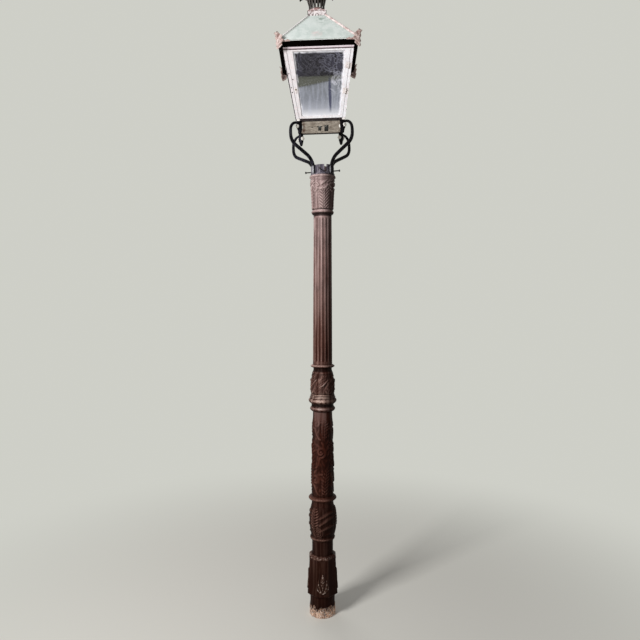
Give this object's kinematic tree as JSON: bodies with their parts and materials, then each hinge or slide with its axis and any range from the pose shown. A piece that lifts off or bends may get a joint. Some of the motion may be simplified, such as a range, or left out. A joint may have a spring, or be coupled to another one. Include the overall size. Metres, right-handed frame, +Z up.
{
  "type": "street lantern on a cast column",
  "caption": "Square glazed street lantern with a hinged door, hipped roof and slotted crown, on a four-armed bracket and a carved, fluted cast-iron column.",
  "frame": {"origin": "centre of the column's foot, at the bottom of its root", "axes": "+Z up the column, -Y towards the lantern's door, +X towards the door's hinges; the lantern leans 2 degrees towards -X"},
  "size_m": [0.4083, 0.4086, 3.1021],
  "materials": {
    "column_iron": "matte",
    "bracket_iron": "matte",
    "fixing_steel": "satin",
    "brass_fixings": "satin",
    "body_paint": "matte",
    "floor_sheet": "matte",
    "roof_copper": "matte",
    "cast_trim": "matte",
    "lantern_glass": "satin",
    "porcelain": "gloss"
  },
  "bodies": {
    "root": {"bottom_frame": "body_paint", "collar_set_screws": "fixing_steel", "column": "column_iron", "corner_foot_back_left": "bracket_iron", "corner_foot_back_right": "bracket_iron", "corner_foot_front_left": "bracket_iron", "corner_foot_front_right": "bracket_iron", "corner_leaf_back_left": "cast_trim", "corner_leaf_back_right": "cast_trim", "corner_leaf_front_left": "cast_trim", "corner_leaf_front_right": "cast_trim", "corner_post_back_left": "body_paint", "corner_post_back_right": "body_paint", "corner_post_front_left": "body_paint", "corner_post_front_right": "body_paint", "crown": "cast_trim", "crown_cap": "roof_copper", "eave_frame": "roof_copper", "finial": "cast_trim", "floor_plate": "floor_sheet", "foot_bolts_and_nuts": "fixing_steel", "frog_arm_back_left": "bracket_iron", "frog_arm_back_right": "bracket_iron", "frog_arm_front_left": "bracket_iron", "frog_arm_front_right": "bracket_iron", "frog_collar": "bracket_iron", "glass_pane_back": "lantern_glass", "glass_pane_left": "lantern_glass", "glass_pane_right": "lantern_glass", "glazing_bead_back": "body_paint", "glazing_bead_left": "body_paint", "glazing_bead_right": "body_paint", "hinge_pins": "brass_fixings", "hinge_post_leaves": "body_paint", "hip_roll_back_left": "roof_copper", "hip_roll_back_right": "roof_copper", "hip_roll_front_left": "roof_copper", "hip_roll_front_right": "roof_copper", "lamp_holder": "porcelain", "roof_panel_back": "roof_copper", "roof_panel_front": "roof_copper", "roof_panel_left": "roof_copper", "roof_panel_right": "roof_copper", "roof_vent_box": "roof_copper", "sash_back": "body_paint", "sash_left": "body_paint", "sash_right": "body_paint", "top_frame": "body_paint"},
    "door": {"door_frame": "body_paint", "glass_pane_front": "lantern_glass", "glazing_bead_front": "body_paint", "hinge_door_leaves": "body_paint", "turn_button_screw": "brass_fixings"},
    "button": {"turn_button": "body_paint"}
  },
  "joints": [
    {"name": "door_hinge", "type": "hinge", "parent": "root", "child": "door", "pos_m": [0.09194, -0.11756, 2.36086], "axis": [0.1182, -0.1524, 0.9812], "range_deg": [0, 95]},
    {"name": "button_turn", "type": "hinge", "parent": "door", "child": "button", "pos_m": [-0.12398, -0.13404, 2.4824], "axis": [-0.0054, 0.988, 0.1541], "range_deg": [0, 90]}
  ]
}
